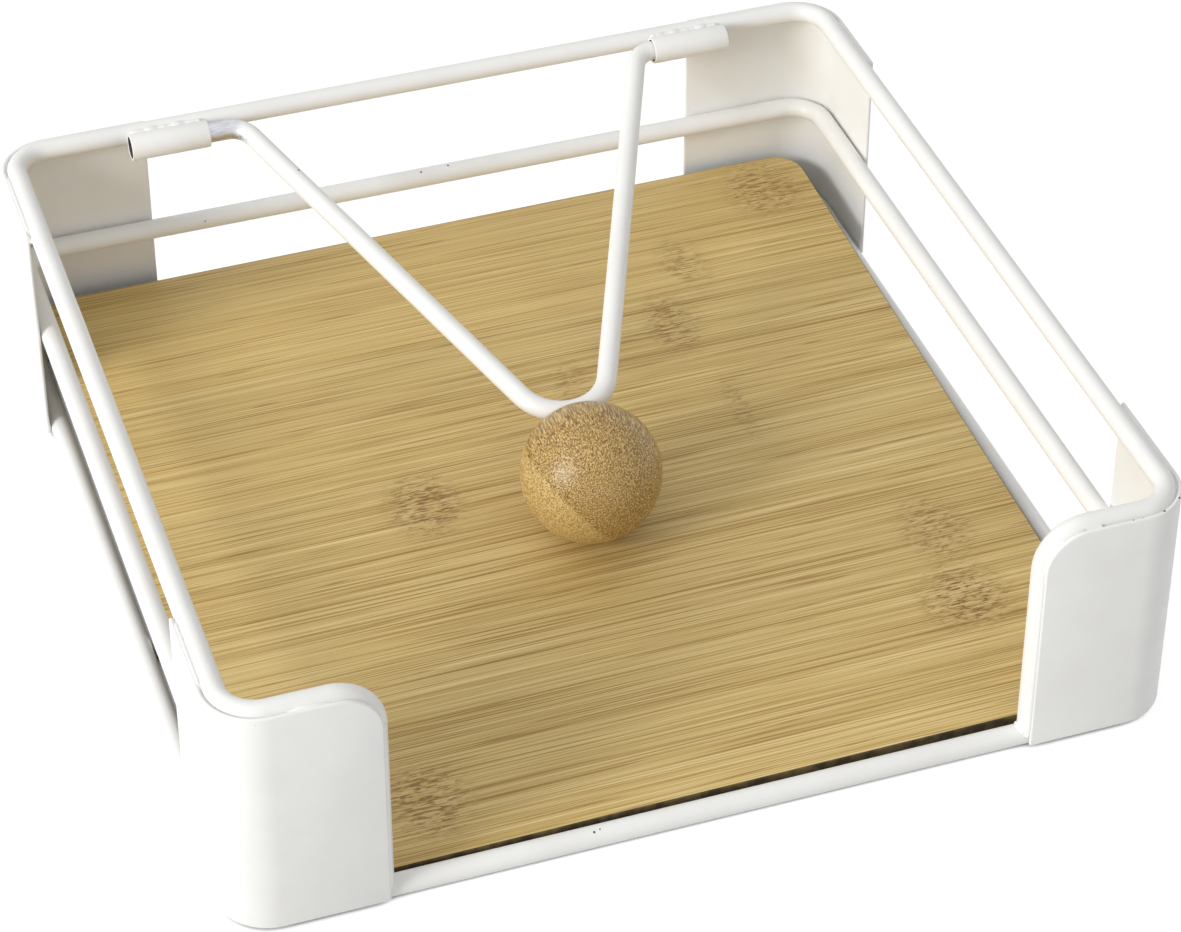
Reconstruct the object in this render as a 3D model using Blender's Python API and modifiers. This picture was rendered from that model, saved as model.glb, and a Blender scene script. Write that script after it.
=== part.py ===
"""A square napkin holder: a white wire frame with sheet corners, a bamboo base board and a hinged
wire arm whose bamboo ball lies on the napkins.

Metres, +Z up. The origin is at the middle of the footprint on the table, -Y is the open front.
"""
import math

import bmesh
import bpy
from mathutils import Matrix, Vector

# Wire and sheet
WIRE_RADIUS = 0.00205
SHEET = 0.0008
GAP = 0.00025

# Frame, to the wires' centre lines
FRAME_HALF = 0.0890
TOP_HEIGHT = 0.0507
MIDDLE_HEIGHT = 0.0257
CORNER_RADIUS = 0.0074
LEG_INSET = 0.0263
LEG_BEND_RADIUS = 0.0083
MIDDLE_RAIL_INSET = 0.0150
FOOT_BEAD_RADIUS = 0.0006

# Corner plates: how far each flange reaches in from the frame's corner
PLATE_FRONT_REACH = 0.0270
PLATE_BACK_REACH = 0.0289
FLANK_REACH = {"front_left": 0.0275, "front_right": 0.0293, "back_left": 0.0305, "back_right": 0.0258}
PLATE_BOTTOM = 0.0013
PLATE_RISE = 0.0008
PLATE_CORNER_RADIUS = 0.0082
CUTTER_OVERLAP = 0.0020

# Hinge
TUBE_RADIUS = 0.00275
TUBE_LENGTH = 0.0166
TUBE_INSET = 0.0230
LEFT_TUBE_INWARD = 0.0011
BEAD_RADIUS = 0.0007
BEAD_THIN_SHARE = 0.62
BEAD_COUNT = 5
BEAD_STEPS = 4
BEAD_MARGIN = 0.0015

# Arm, in its own plane, which slopes down from the hinge at rest
ARM_SHIFT = 0.0025
ARM_LENGTH = 0.1045
ARM_BEND_RADIUS = 0.0050
ARM_TIP_RADIUS = 0.0097
PIN_BARE_LENGTH = 0.0059
PIN_INSET = 0.0045

# Ball
BALL_RADIUS = 0.0140
BALL_SEAT_DEPTH = 0.0009
BALL_SEAT_ANGLE = math.radians(21.5)
STUD_RADIUS = 0.0015

# Base board, which rises to the back and is turned a little
BOARD_PLAY = 0.00105
BOARD_FRONT_PLAY = 0.00095
BOARD_BACK_INSET = 0.0005
BOARD_FRONT_HEIGHT = 0.0034
BOARD_THICKNESS = 0.0031
BOARD_CORNER_RADIUS = 0.0065
BOARD_EDGE_ROUNDING = 0.0006
BOARD_TURN = math.radians(0.45)
REAR_CARRIER_INSET = 0.0246

# Looks: linear colour and roughness
WHITE_COLOUR = (0.86, 0.86, 0.84)
WHITE_ROUGHNESS = 0.42
BOARD_COLOUR = (0.56, 0.40, 0.17)
BOARD_ROUGHNESS = 0.55
BALL_COLOUR = (0.48, 0.31, 0.13)
BALL_ROUGHNESS = 0.38
STEEL_COLOUR = (0.34, 0.34, 0.32)
STEEL_ROUGHNESS = 0.35

# Fineness of the round shapes
ARC_STEPS = 6
WIRE_RESOLUTION = 4
TUBE_STEPS = 24
BALL_SEGMENTS = 40
BALL_RINGS = 24
STUD_SIDES = 16
EDGE_SEGMENTS = 3
SMOOTH_ANGLE = math.radians(40)
MERGE = 0.00001

# Derived sizes
BOTTOM_HEIGHT = WIRE_RADIUS
REAR_CARRIER_HEIGHT = BOTTOM_HEIGHT + 2 * WIRE_RADIUS + GAP
PLATE_INSIDE = FRAME_HALF + WIRE_RADIUS + GAP
PLATE_OUTSIDE = PLATE_INSIDE + SHEET
PLATE_TOP = TOP_HEIGHT + PLATE_RISE
BORE_RADIUS = WIRE_RADIUS + GAP
HINGE_Y = FRAME_HALF - WIRE_RADIUS - GAP - TUBE_RADIUS
HINGE = Vector((ARM_SHIFT, HINGE_Y, TOP_HEIGHT))
TUBE_OUTER_END = FRAME_HALF - TUBE_INSET
TUBE_INNER_END = TUBE_OUTER_END - TUBE_LENGTH
ARM_HALF_SPREAD = TUBE_INNER_END - PIN_BARE_LENGTH
PIN_END = TUBE_OUTER_END - PIN_INSET
BOARD_WIDTH = 2 * (FRAME_HALF - WIRE_RADIUS - BOARD_PLAY)
BOARD_FRONT = FRAME_HALF - WIRE_RADIUS - BOARD_FRONT_PLAY
BOARD_BACK = FRAME_HALF - BOARD_BACK_INSET


def clear_scene():
    for old in list(bpy.data.objects):
        bpy.data.objects.remove(old, do_unlink=True)


def new_collection(name):
    made = bpy.data.collections.new(name)
    bpy.context.scene.collection.children.link(made)
    return made


def new_material(name, colour, roughness, metallic):
    made = bpy.data.materials.new(name)
    made.use_nodes = True
    shader = made.node_tree.nodes["Principled BSDF"]
    shader.inputs["Base Color"].default_value = (*colour, 1.0)
    shader.inputs["Roughness"].default_value = roughness
    shader.inputs["Metallic"].default_value = metallic
    made.diffuse_color = (*colour, 1.0)
    return made


def rounded(corners, radii):
    """The polyline through the corners, with each one rounded by an arc of its radius."""
    points = []
    for index, corner in enumerate(corners):
        if not radii[index]:
            points.append(corner)
            continue
        before = (corners[index - 1] - corner).normalized()
        after = (corners[(index + 1) % len(corners)] - corner).normalized()
        half = before.angle(after) / 2
        centre = corner + (before + after).normalized() * radii[index] / math.sin(half)
        start = corner + before * radii[index] / math.tan(half) - centre
        end = corner + after * radii[index] / math.tan(half) - centre
        axis = start.cross(end).normalized()
        for step in range(ARC_STEPS + 1):
            turn = Matrix.Rotation((math.pi - 2 * half) * step / ARC_STEPS, 3, axis)
            points.append(centre + turn @ start)
    return points


def add_curve(name, dimensions, points, closed):
    data = bpy.data.curves.new(name, "CURVE")
    data.dimensions = dimensions
    line = data.splines.new("POLY")
    line.points.add(len(points) - 1)
    for place, point in zip(line.points, points):
        place.co = (*point, 1.0)
    line.use_cyclic_u = closed
    return bpy.data.objects.new(name, data)


def wire(name, points, material, closed=False, radius=WIRE_RADIUS):
    """A round wire along a polyline, with flat ends."""
    made = add_curve(name, "3D", points, closed)
    made.data.bevel_depth = radius
    made.data.bevel_resolution = WIRE_RESOLUTION
    made.data.use_fill_caps = not closed
    if material:
        made.data.materials.append(material)
    return made


def flat_outline(name, points, low, high):
    """An upright slab: a closed outline drawn out from the low height to the high one."""
    made = add_curve(name, "2D", points, True)
    made.data.fill_mode = "BOTH"
    made.data.extrude = (high - low) / 2
    made.location.z = (high + low) / 2
    return made


def to_mesh(curve, collection, material):
    """Turns a curve object into a closed mesh object of the same name and place."""
    name = curve.name
    bpy.context.scene.collection.objects.link(curve)
    bpy.context.view_layer.update()
    seen = curve.evaluated_get(bpy.context.evaluated_depsgraph_get())
    data = bpy.data.meshes.new_from_object(seen)
    place = curve.matrix_world.copy()
    bpy.data.objects.remove(curve, do_unlink=True)
    shape = bmesh.new()
    shape.from_mesh(data)
    bmesh.ops.remove_doubles(shape, verts=shape.verts, dist=MERGE)
    shape.to_mesh(data)
    shape.free()
    made = bpy.data.objects.new(name, data)
    made.matrix_world = place
    collection.objects.link(made)
    if material:
        data.materials.clear()
        data.materials.append(material)
    return made


def turned(name, profile, steps, material):
    """A closed profile of radius and height pairs, turned round the object's Z axis."""
    data = bpy.data.meshes.new(name)
    count = len(profile)
    ring = [(index, (index + 1) % count) for index in range(count)]
    data.from_pydata([(radius, 0, height) for radius, height in profile], ring, [])
    data.materials.append(material)
    made = bpy.data.objects.new(name, data)
    turn = made.modifiers.new("Turn", "SCREW")
    turn.steps = steps
    turn.render_steps = steps
    turn.use_merge_vertices = True
    turn.merge_threshold = MERGE
    turn.use_smooth_shade = True
    return made


def round_mesh(name, material, build):
    """A mesh object made by one bmesh operator and shaded smooth."""
    data = bpy.data.meshes.new(name)
    shape = bmesh.new()
    build(shape)
    shape.to_mesh(data)
    shape.free()
    data.shade_smooth()
    data.set_sharp_from_angle(angle=SMOOTH_ANGLE)
    data.materials.append(material)
    return bpy.data.objects.new(name, data)


def cut(target, cutter, cutters):
    """Takes the cutter's shape out of the target, and hides the cutter."""
    taken = target.modifiers.new("Cut " + cutter.name, "BOOLEAN")
    taken.operation = "DIFFERENCE"
    taken.object = cutter
    if cutter.name not in cutters.objects:
        cutters.objects.link(cutter)
    cutter.hide_render = True
    cutter.display_type = "WIRE"


def add_top_rail(parts, white):
    """The rim: from the left foot up, round the left side, the back and the right side, and down."""
    foot = BOTTOM_HEIGHT + WIRE_RADIUS + GAP
    half = FRAME_HALF
    leg = half - LEG_INSET
    right = [Vector((half, half, TOP_HEIGHT)), Vector((half, -half, TOP_HEIGHT)),
             Vector((leg, -half, TOP_HEIGHT)), Vector((leg, -half, foot))]
    left = [Vector((-corner.x, corner.y, corner.z)) for corner in reversed(right)]
    radii = [0, LEG_BEND_RADIUS, CORNER_RADIUS, CORNER_RADIUS]
    path = rounded(left + right, radii + radii[::-1])
    parts.objects.link(wire("top_rail", path, white))


def add_middle_rail(parts, white):
    """The side and back rail at half height; its ends lie behind the front plates."""
    half = FRAME_HALF
    end = half - MIDDLE_RAIL_INSET
    corners = [Vector((-half, -end, MIDDLE_HEIGHT)), Vector((-half, half, MIDDLE_HEIGHT)),
               Vector((half, half, MIDDLE_HEIGHT)), Vector((half, -end, MIDDLE_HEIGHT))]
    path = rounded(corners, [0, CORNER_RADIUS, CORNER_RADIUS, 0])
    parts.objects.link(wire("middle_rail", path, white))


def add_bottom_rail(parts, white):
    """The closed square ring that the holder stands on."""
    half = FRAME_HALF
    corners = [Vector((x * half, y * half, BOTTOM_HEIGHT)) for x, y in ((-1, -1), (-1, 1), (1, 1), (1, -1))]
    path = rounded(corners, [CORNER_RADIUS] * len(corners))
    parts.objects.link(wire("bottom_rail", path, white, closed=True))


def add_plate(parts, cutters, white, corner, side, end, reach):
    """A sheet bent round one corner, outside the wires. side is -1 or 1 in X and end in Y."""
    name = "corner_plate_" + corner
    edge = FRAME_HALF - reach
    flank = FRAME_HALF - FLANK_REACH[corner]
    corners = [Vector((side * edge, end * PLATE_OUTSIDE, 0)),
               Vector((side * PLATE_OUTSIDE, end * PLATE_OUTSIDE, 0)),
               Vector((side * PLATE_OUTSIDE, end * flank, 0)),
               Vector((side * PLATE_INSIDE, end * flank, 0)),
               Vector((side * PLATE_INSIDE, end * PLATE_INSIDE, 0)),
               Vector((side * edge, end * PLATE_INSIDE, 0))]
    inner_radius = CORNER_RADIUS + WIRE_RADIUS + GAP
    outline = rounded(corners, [0, inner_radius + SHEET, 0, 0, inner_radius, 0])
    plate = to_mesh(flat_outline(name, outline, PLATE_BOTTOM, PLATE_TOP), parts, white)
    if end < 0:
        cut(plate, plate_corner_cutter(cutters, name, side, edge), cutters)


def plate_corner_cutter(cutters, name, side, edge):
    """What is cut off a front plate's upper corner to round it, drawn in its own plane."""
    radius = PLATE_CORNER_RADIUS
    inner = Vector((side * edge, PLATE_TOP, 0))
    arc = rounded([inner + Vector((side * radius, 0, 0)), inner, inner + Vector((0, -radius, 0))],
                  [0, radius, 0])
    out = CUTTER_OVERLAP
    outside = [inner + Vector((-side * out, -radius, 0)), inner + Vector((-side * out, out, 0)),
               inner + Vector((side * radius, out, 0))]
    shape = flat_outline(name + "_corner", arc[1:-1] + outside, -SHEET * 2, SHEET * 2)
    shape.rotation_euler.x = math.pi / 2
    shape.location = (0, -(PLATE_INSIDE + PLATE_OUTSIDE) / 2, 0)
    return to_mesh(shape, cutters, None)


def tube_middle(side):
    """The middle of a hinge tube along X; the left one is welded on a little further in."""
    inward = LEFT_TUBE_INWARD if side < 0 else 0
    return side * ((TUBE_OUTER_END + TUBE_INNER_END) / 2 - inward)


def add_tube(parts, white, name, side):
    """A short hinge tube along X, in front of the top back rail."""
    half = TUBE_LENGTH / 2
    profile = [(TUBE_RADIUS, half), (TUBE_RADIUS, -half), (BORE_RADIUS, -half), (BORE_RADIUS, half)]
    tube = turned(name, profile, TUBE_STEPS, white)
    tube.rotation_euler.y = math.pi / 2
    tube.location = (tube_middle(side), HINGE_Y, TOP_HEIGHT)
    parts.objects.link(tube)


def add_tube_weld(parts, white, name, side):
    """A row of weld spots in the groove between a hinge tube and the top back rail."""
    to_rail = WIRE_RADIUS + GAP + BEAD_RADIUS
    to_tube = TUBE_RADIUS + GAP + BEAD_RADIUS
    apart = FRAME_HALF - HINGE_Y
    forward = (apart ** 2 + to_rail ** 2 - to_tube ** 2) / (2 * apart)
    height = math.sqrt(to_rail ** 2 - forward ** 2)
    length = TUBE_LENGTH - 2 * BEAD_MARGIN
    start = tube_middle(side) - length / 2
    last = BEAD_COUNT * BEAD_STEPS
    points = [Vector((start + length * step / last, FRAME_HALF - forward, TOP_HEIGHT + height))
              for step in range(last + 1)]
    bead = wire(name, points, white, radius=BEAD_RADIUS)
    for step, point in enumerate(bead.data.splines[0].points):
        swell = math.sin(math.pi * step / BEAD_STEPS) ** 2
        point.radius = BEAD_THIN_SHARE + (1 - BEAD_THIN_SHARE) * swell
    parts.objects.link(bead)


def add_foot_weld(parts, white, name, side):
    """The weld spot in the corner between a front leg and the bottom rail."""
    away = WIRE_RADIUS + GAP + FOOT_BEAD_RADIUS
    spot = round_mesh(name, white, lambda shape: bmesh.ops.create_uvsphere(
        shape, u_segments=STUD_SIDES, v_segments=STUD_SIDES // 2, radius=FOOT_BEAD_RADIUS))
    spot.location = (side * (FRAME_HALF - LEG_INSET - away), -FRAME_HALF, BOTTOM_HEIGHT + away)
    parts.objects.link(spot)


def board_rise():
    """The board's slope: its front edge is at its height and its back lies on the rear carrier."""
    along = FRAME_HALF - REAR_CARRIER_INSET + BOARD_FRONT
    up = REAR_CARRIER_HEIGHT - BOARD_FRONT_HEIGHT
    apart = WIRE_RADIUS + GAP + BOARD_THICKNESS
    return math.atan(up / along) + math.asin(apart / math.hypot(along, up))


def add_carriers(parts, white):
    """Two cross wires under the board: one between the side rails, one laid over them."""
    reach = FRAME_HALF - WIRE_RADIUS - GAP
    touch = BOTTOM_HEIGHT + (WIRE_RADIUS + GAP + BOARD_THICKNESS) / math.cos(board_rise())
    low_y = (touch - BOARD_FRONT_HEIGHT) / math.tan(board_rise()) - BOARD_FRONT
    low = [Vector((-reach, low_y, BOTTOM_HEIGHT)), Vector((reach, low_y, BOTTOM_HEIGHT))]
    parts.objects.link(wire("front_carrier", low, white))
    high_y = FRAME_HALF - REAR_CARRIER_INSET
    high = [Vector((-reach, high_y, REAR_CARRIER_HEIGHT)), Vector((reach, high_y, REAR_CARRIER_HEIGHT))]
    parts.objects.link(wire("rear_carrier", high, white))


def add_board(parts, bamboo):
    """The base board, modelled flat with its origin in the middle of its top face."""
    half = BOARD_WIDTH / 2
    rise = board_rise()
    depth = (BOARD_FRONT + BOARD_BACK) / math.cos(rise)
    corners = [Vector((x * half, y * depth / 2, 0)) for x, y in ((-1, -1), (1, -1), (1, 1), (-1, 1))]
    outline = rounded(corners, [BOARD_CORNER_RADIUS] * len(corners))
    board = to_mesh(flat_outline("base_board", outline, -BOARD_THICKNESS, 0), parts, bamboo)
    middle_y = (BOARD_BACK - BOARD_FRONT) / 2
    board.data.transform(Matrix.Translation((0, 0, -BOARD_THICKNESS / 2)))
    board.location.y = middle_y
    board.location.z = BOARD_FRONT_HEIGHT + (middle_y + BOARD_FRONT) * math.tan(rise)
    board.rotation_mode = "ZYX"
    board.rotation_euler = (rise, 0, BOARD_TURN)
    edges = board.modifiers.new("Eased edges", "BEVEL")
    edges.width = BOARD_EDGE_ROUNDING
    edges.segments = EDGE_SEGMENTS


def arm_path():
    """The arm's centre line in its own frame: two pins along X and a V with a round tip."""
    spread = ARM_HALF_SPREAD
    corners = [Vector((-PIN_END, 0, 0)), Vector((-spread, 0, 0)), Vector((0, -ARM_LENGTH, 0)),
               Vector((spread, 0, 0)), Vector((PIN_END, 0, 0))]
    return rounded(corners, [0, ARM_BEND_RADIUS, ARM_TIP_RADIUS, ARM_BEND_RADIUS, 0])


def arm_tip():
    """The point of the arm's centre line that is furthest from the hinge."""
    half_angle = math.atan(ARM_HALF_SPREAD / ARM_LENGTH)
    return Vector((0, ARM_TIP_RADIUS / math.sin(half_angle) - ARM_TIP_RADIUS - ARM_LENGTH, 0))


def ball_centre():
    """The ball's centre in the arm's frame: the wire's tip lies in its surface, up and behind."""
    seat = BALL_RADIUS - BALL_SEAT_DEPTH
    return arm_tip() - Vector((0, seat * math.cos(BALL_SEAT_ANGLE), seat * math.sin(BALL_SEAT_ANGLE)))


def arm_rest_angle():
    """How far the arm slopes down when its ball lies on the board."""
    centre = ball_centre()
    rise = board_rise()
    up = Vector((0, -math.sin(rise), math.cos(rise)))
    front_edge = Vector((0, -BOARD_FRONT, BOARD_FRONT_HEIGHT))
    drop = (HINGE - front_edge).dot(up) - BALL_RADIUS - GAP
    return rise + math.asin(drop / centre.length) - math.atan(centre.z / centre.y)


def add_arm(parts, white):
    """The wire arm, on an empty on the hinge axis that carries the ball and its stud too."""
    pivot = bpy.data.objects.new("arm_pivot", None)
    pivot.location = HINGE
    pivot.rotation_euler.x = arm_rest_angle()
    parts.objects.link(pivot)
    arm = wire("arm_wire", arm_path(), white)
    parts.objects.link(arm)
    arm.parent = pivot
    return pivot


def add_ball(parts, cutters, bamboo, pivot):
    """The ball has a groove for the wire and a blind hole for the stud."""
    centre = ball_centre()
    ball = round_mesh("ball", bamboo, lambda shape: bmesh.ops.create_uvsphere(
        shape, u_segments=BALL_SEGMENTS, v_segments=BALL_RINGS, radius=BALL_RADIUS))
    ball.location = centre
    parts.objects.link(ball)
    ball.parent = pivot

    groove = to_mesh(wire("ball_groove", arm_path(), None, radius=BORE_RADIUS), cutters, None)
    groove.parent = pivot
    cut(ball, groove, cutters)

    to_tip = arm_tip() - centre
    hole = rod_to_tip("ball_hole", bamboo, STUD_RADIUS + GAP, -GAP, to_tip.length)
    hole.parent = pivot
    cut(ball, hole, cutters)


def add_stud(parts, steel, pivot):
    """The stud from the wire's tip to the ball's middle."""
    length = (arm_tip() - ball_centre()).length - WIRE_RADIUS - GAP
    stud = rod_to_tip("ball_stud", steel, STUD_RADIUS, 0, length)
    parts.objects.link(stud)
    stud.parent = pivot


def rod_to_tip(name, material, radius, start, end):
    """A rod on the line from the ball's centre to the arm's tip, from start to end along it."""
    to_tip = arm_tip() - ball_centre()
    rod = round_mesh(name, material, lambda shape: bmesh.ops.create_cone(
        shape, cap_ends=True, segments=STUD_SIDES, radius1=radius, radius2=radius, depth=end - start))
    rod.rotation_mode = "QUATERNION"
    rod.rotation_quaternion = to_tip.to_track_quat("Z", "Y")
    rod.location = ball_centre() + to_tip.normalized() * (start + end) / 2
    return rod


def main():
    clear_scene()
    parts = new_collection("napkin_holder")
    cutters = new_collection("cutters")
    cutters.hide_render = True
    white = new_material("white_powder_coat", WHITE_COLOUR, WHITE_ROUGHNESS, 0)
    board_bamboo = new_material("board_bamboo", BOARD_COLOUR, BOARD_ROUGHNESS, 0)
    ball_bamboo = new_material("ball_bamboo", BALL_COLOUR, BALL_ROUGHNESS, 0)
    bare_steel = new_material("bare_steel", STEEL_COLOUR, STEEL_ROUGHNESS, 1)

    add_top_rail(parts, white)
    add_middle_rail(parts, white)
    add_bottom_rail(parts, white)
    for side, side_name in ((-1, "left"), (1, "right")):
        add_plate(parts, cutters, white, "front_" + side_name, side, -1, PLATE_FRONT_REACH)
        add_plate(parts, cutters, white, "back_" + side_name, side, 1, PLATE_BACK_REACH)
        add_tube(parts, white, "hinge_tube_" + side_name, side)
        add_tube_weld(parts, white, "hinge_weld_" + side_name, side)
        add_foot_weld(parts, white, "foot_weld_" + side_name, side)
    add_carriers(parts, white)
    add_board(parts, board_bamboo)
    pivot = add_arm(parts, white)
    add_ball(parts, cutters, ball_bamboo, pivot)
    add_stud(parts, bare_steel, pivot)


main()
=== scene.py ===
import math

import bmesh
import bpy
from mathutils import Matrix, Vector


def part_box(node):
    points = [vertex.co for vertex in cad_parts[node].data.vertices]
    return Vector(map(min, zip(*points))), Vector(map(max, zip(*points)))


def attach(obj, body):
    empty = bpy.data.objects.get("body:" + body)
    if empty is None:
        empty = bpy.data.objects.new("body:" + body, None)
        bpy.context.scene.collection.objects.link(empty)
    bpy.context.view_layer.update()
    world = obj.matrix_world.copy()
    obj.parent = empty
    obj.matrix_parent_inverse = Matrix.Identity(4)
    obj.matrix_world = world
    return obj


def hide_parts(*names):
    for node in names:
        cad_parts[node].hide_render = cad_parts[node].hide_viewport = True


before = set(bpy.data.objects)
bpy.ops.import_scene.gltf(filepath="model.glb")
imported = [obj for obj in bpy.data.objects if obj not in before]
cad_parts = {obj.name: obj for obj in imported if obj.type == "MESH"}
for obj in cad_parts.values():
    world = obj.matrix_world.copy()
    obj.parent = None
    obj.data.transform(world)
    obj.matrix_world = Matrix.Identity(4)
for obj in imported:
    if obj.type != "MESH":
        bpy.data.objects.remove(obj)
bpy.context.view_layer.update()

# CAMERA. It stands to the left of the holder's front and looks down on it, as the photograph
# does. The shift is there because the photograph's middle is not the middle of the lens.
CAMERA_PLACE = Vector((-0.17952, -0.54356, 0.48126))
CAMERA_RIGHT = Vector((0.949653, -0.313225, -0.007067))
CAMERA_BACK = Vector((-0.247607, -0.764148, 0.595625))
SENSOR_WIDTH = 36.0
FOCAL_LENGTH = 112.83
SHIFT_X = 0.0426
SHIFT_Y = -0.1463
SEEN_FROM, SEEN_TO = 0.01, 20.0

camera_data = bpy.data.cameras.new("camera")
camera_data.sensor_width = SENSOR_WIDTH
camera_data.lens = FOCAL_LENGTH
camera_data.shift_x = SHIFT_X
camera_data.shift_y = SHIFT_Y
camera_data.clip_start = SEEN_FROM
camera_data.clip_end = SEEN_TO
camera = bpy.data.objects.new("camera", camera_data)
turned = Matrix((CAMERA_RIGHT, CAMERA_BACK.cross(CAMERA_RIGHT), CAMERA_BACK)).transposed()
camera.matrix_world = Matrix.Translation(CAMERA_PLACE) @ turned.to_4x4()
bpy.context.scene.collection.objects.link(camera)
bpy.context.scene.camera = camera
bpy.context.scene.view_settings.view_transform = "Standard"

# LIGHT. One large soft lamp stands low at the left and does most of the work; a weak broad one
# hangs above. The white room fills the rest.
LAMP_DISTANCE = 2.0
LAMPS = {"left_lamp": (Vector((-0.85, -0.31, 0.42)), 0.82, 24.5),
         "top_lamp": (Vector((-0.45, 0.10, 0.90)), 1.80, 4.3)}
ROOM_LIGHT = 0.56

for name, (direction, size, power) in LAMPS.items():
    lamp_data = bpy.data.lights.new(name, "AREA")
    lamp_data.shape = "DISK"
    lamp_data.size = size
    lamp_data.energy = power
    lamp = bpy.data.objects.new(name, lamp_data)
    lamp.location = direction.normalized() * LAMP_DISTANCE
    lamp.rotation_mode = "QUATERNION"
    lamp.rotation_quaternion = direction.to_track_quat("Z", "Y")
    bpy.context.scene.collection.objects.link(lamp)


def linear(hex_colour):
    """An sRGB colour written as #rrggbb, as the linear colour that the shaders take."""
    parts = [int(hex_colour[place:place + 2], 16) / 255 for place in (1, 3, 5)]
    parts = [part / 12.92 if part <= 0.04045 else ((part + 0.055) / 1.055) ** 2.4 for part in parts]
    return (*parts, 1.0)


def add_node(tree, kind, inputs=None, **settings):
    """Adds one node. An input is given a value, or the socket that feeds it."""
    node = tree.nodes.new(kind)
    for name, value in settings.items():
        setattr(node, name, value)
    for name, value in (inputs or {}).items():
        if isinstance(value, bpy.types.NodeSocket):
            tree.links.new(value, node.inputs[name])
        else:
            node.inputs[name].default_value = value
    return node


def seen_directly(tree):
    """1 for what the camera sees itself, in a gloss or through glass, 0 for light that bounces."""
    path = add_node(tree, "ShaderNodeLightPath")
    gloss = add_node(tree, "ShaderNodeMath", {0: path.outputs["Is Camera Ray"],
                     1: path.outputs["Is Glossy Ray"]}, operation="MAXIMUM")
    glass = add_node(tree, "ShaderNodeMath", {0: gloss.outputs[0],
                     1: path.outputs["Is Transmission Ray"]}, operation="MAXIMUM")
    return glass.outputs[0]


room = bpy.data.worlds.new("white_room")
room.use_nodes = True
room.node_tree.nodes.clear()
room_strength = add_node(room.node_tree, "ShaderNodeMapRange", {
    "Value": seen_directly(room.node_tree), "To Min": ROOM_LIGHT, "To Max": 1.0})
room_shader = add_node(room.node_tree, "ShaderNodeBackground", {
    "Color": linear("#ffffff"), "Strength": room_strength.outputs[0]})
add_node(room.node_tree, "ShaderNodeOutputWorld", {"Surface": room_shader.outputs[0]})
bpy.context.scene.world = room

# FLOOR. A wide sheet of white card. The camera sees it as pure white, with the holder's soft
# shadow on it. In narrow gaps beside and under the holder an occlusion mask takes its glow away,
# which is painted shade there. Light that bounces off it is that of plain white card.
FLOOR_HALF = 3.0
CARD_COLOUR = "#dedede"
CARD_SHADOW_COLOUR = "#949494"
CARD_GLOW = 0.85
# Painted shade in narrow gaps: how far the occlusion mask looks, and at what occlusion the shade is
# full and where it ends
GAP_SHADE_REACH = 0.022
GAP_SHADE_FULL, GAP_SHADE_NONE = 0.12, 0.38


def add_object(name, shape):
    """Puts a shape in the scene as an object of its own."""
    mesh = bpy.data.meshes.new(name)
    shape.to_mesh(mesh)
    shape.free()
    made = bpy.data.objects.new(name, mesh)
    bpy.context.scene.collection.objects.link(made)
    return made


card = bpy.data.materials.new("white_card")
card.use_nodes = True
card.node_tree.nodes.clear()
tree = card.node_tree
card_plain = add_node(tree, "ShaderNodeBsdfDiffuse", {"Color": linear(CARD_COLOUR)})
card_seen = add_node(tree, "ShaderNodeBsdfDiffuse", {"Color": linear(CARD_SHADOW_COLOUR)})
# Painted shade: the card's glow fades out where this occlusion mask finds it hemmed in
painted_gap_shade = add_node(tree, "ShaderNodeAmbientOcclusion", {"Distance": GAP_SHADE_REACH})
glow_less_gap_shade = add_node(tree, "ShaderNodeMapRange", {
    "Value": painted_gap_shade.outputs["AO"], "From Min": GAP_SHADE_FULL, "From Max": GAP_SHADE_NONE,
    "To Min": 0.0, "To Max": CARD_GLOW})
card_glow = add_node(tree, "ShaderNodeEmission", {"Color": linear("#ffffff"),
                     "Strength": glow_less_gap_shade.outputs[0]})
card_white = add_node(tree, "ShaderNodeAddShader", {0: card_seen.outputs[0],
                      1: card_glow.outputs[0]})
card_both = add_node(tree, "ShaderNodeMixShader", {0: seen_directly(tree), 1: card_plain.outputs[0],
                     2: card_white.outputs[0]})
add_node(tree, "ShaderNodeOutputMaterial", {"Surface": card_both.outputs[0]})

floor_shape = bmesh.new()
bmesh.ops.create_grid(floor_shape, x_segments=1, y_segments=1, size=FLOOR_HALF)
floor = add_object("floor", floor_shape)
floor.data.materials.append(card)

# BOTTOM RAIL. The ring that the holder stands on: 4 mm steel wire, bent round a former at each
# corner, butt welded at the back and powder coated white with the rest of the frame.
WIRE_RADIUS = 0.00205
WIRE_SIDES = 32
FRAME_HALF = 0.0890
FRAME_CORNER = 0.0074
RING_HEIGHT = WIRE_RADIUS
BEND_STEP = math.radians(7.5)
FEWEST_BEND_STEPS = 3
SHADED_ROUND = math.radians(50)
MILLIMETRE = 0.001
MERGED = 0.01 * MILLIMETRE

COAT_COLOUR = "#f4f4f1"
COAT_SHADE = "#f0efec"
COAT_DIRT = "#4b443c"
COAT_GLOSS, COAT_MATT = 0.30, 0.48
COAT_IOR = 1.5
CLOUD_SIZE = 14 * MILLIMETRE
CLOUD_LIGHT, CLOUD_SHADE = 0.35, 0.7
PEEL_SIZE = 0.9 * MILLIMETRE
PEEL_DEPTH = 0.05 * MILLIMETRE
PEEL_STRENGTH = 0.10
RAGGED_SIZE = 0.5 * MILLIMETRE
# How ragged a nick is, and where it starts and is full, in its own radii
NICK_RAGGED, NICK_EDGE, NICK_CORE = 1.2, 1.6, 1.4
RING_CHIPS = ((-0.0231, -0.0898, 0.0039, 0.00026), (-0.0219, -0.0895, 0.0040, 0.0002))


def add_finish(name):
    """A new material, with its node tree, its shader and the place that its patterns start from."""
    made = bpy.data.materials.new(name)
    made.use_nodes = True
    tree = made.node_tree
    place = add_node(tree, "ShaderNodeTexCoord").outputs["Object"]
    return made, tree, tree.nodes["Principled BSDF"], place


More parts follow.
